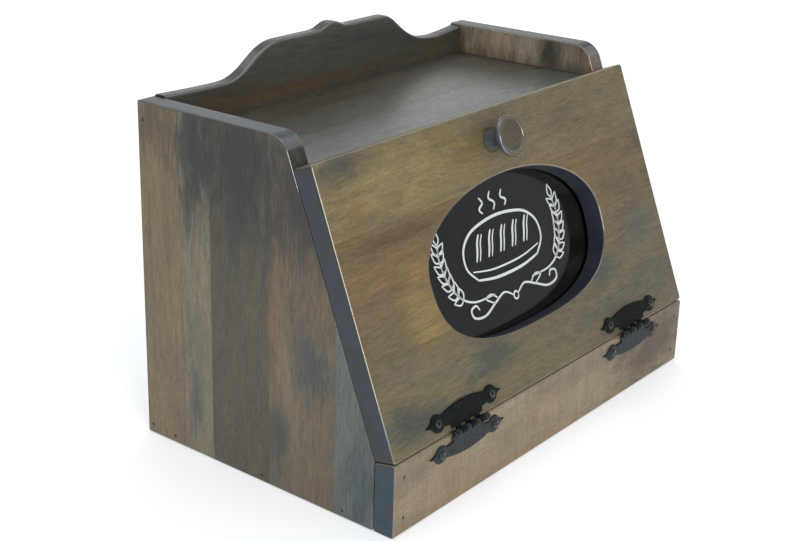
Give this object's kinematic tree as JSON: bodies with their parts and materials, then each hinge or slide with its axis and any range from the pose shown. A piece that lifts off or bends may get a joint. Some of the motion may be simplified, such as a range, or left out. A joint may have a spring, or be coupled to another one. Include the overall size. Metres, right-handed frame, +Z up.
{
  "type": "bread box",
  "caption": "Wooden bread box with a slanted drop-front door, an oval window, a round knob, black surface hinges and a scalloped back board above an open top tray.",
  "frame": {"origin": "on the ground under the middle of the box's bounding box", "axes": "+Z up, -Y towards the door at the front, +X to the right of someone who faces the door"},
  "size_m": [0.432, 0.2712, 0.3191],
  "materials": {
    "side_wood": "satin brown-grey stain, weathered streaks",
    "door_wood": "satin brown-grey stain with golden patches",
    "rail_wood": "satin light tan-grey stain",
    "shelf_wood": "semi-gloss dark grey-brown stain",
    "back_wood": "satin dark brown stain",
    "knob_wood": "glossy dark olive-brown stain",
    "pane": "clear pane over a dark interior, white ornament on its front",
    "clip_plastic": "translucent grey moulded plastic",
    "steel": "bright steel",
    "black_iron": "black, hammered and waxed"
  },
  "bodies": {
    "case": {"side_panel_left": "side_wood", "side_panel_right": "side_wood", "bottom_board": "shelf_wood", "top_shelf": "shelf_wood", "back_panel": "back_wood", "front_rail": "rail_wood", "rail_brad_left_1": "steel", "rail_brad_left_2": "steel", "back_brad_left_1": "steel", "back_brad_left_2": "steel", "floor_brad_left_1": "steel", "floor_brad_left_2": "steel", "floor_brad_left_3": "steel", "hinge_left_rail_leaf": "black_iron", "hinge_left_pin": "black_iron", "hinge_left_rail_screw_1": "black_iron", "hinge_left_rail_screw_2": "black_iron", "rail_brad_right_1": "steel", "rail_brad_right_2": "steel", "back_brad_right_1": "steel", "back_brad_right_2": "steel", "floor_brad_right_1": "steel", "floor_brad_right_2": "steel", "floor_brad_right_3": "steel", "hinge_right_rail_leaf": "black_iron", "hinge_right_pin": "black_iron", "hinge_right_rail_screw_1": "black_iron", "hinge_right_rail_screw_2": "black_iron"},
    "door": {"door_panel": "door_wood", "window_pane": "pane", "pane_clip_1": "clip_plastic", "pane_clip_2": "clip_plastic", "pane_clip_3": "clip_plastic", "pane_clip_4": "clip_plastic", "pane_clip_screw_1": "steel", "pane_clip_screw_2": "steel", "pane_clip_screw_3": "steel", "pane_clip_screw_4": "steel", "door_knob": "knob_wood", "knob_screw": "steel", "hinge_left_door_leaf": "black_iron", "hinge_left_door_screw_1": "black_iron", "hinge_left_door_screw_2": "black_iron", "hinge_right_door_leaf": "black_iron", "hinge_right_door_screw_1": "black_iron", "hinge_right_door_screw_2": "black_iron"}
  },
  "joints": [
    {"name": "door_hinge", "type": "hinge", "parent": "case", "child": "door", "pos_m": [0, -0.1326, 0.06238], "axis": [1, 0, 0], "range_deg": [0, 121]}
  ]
}
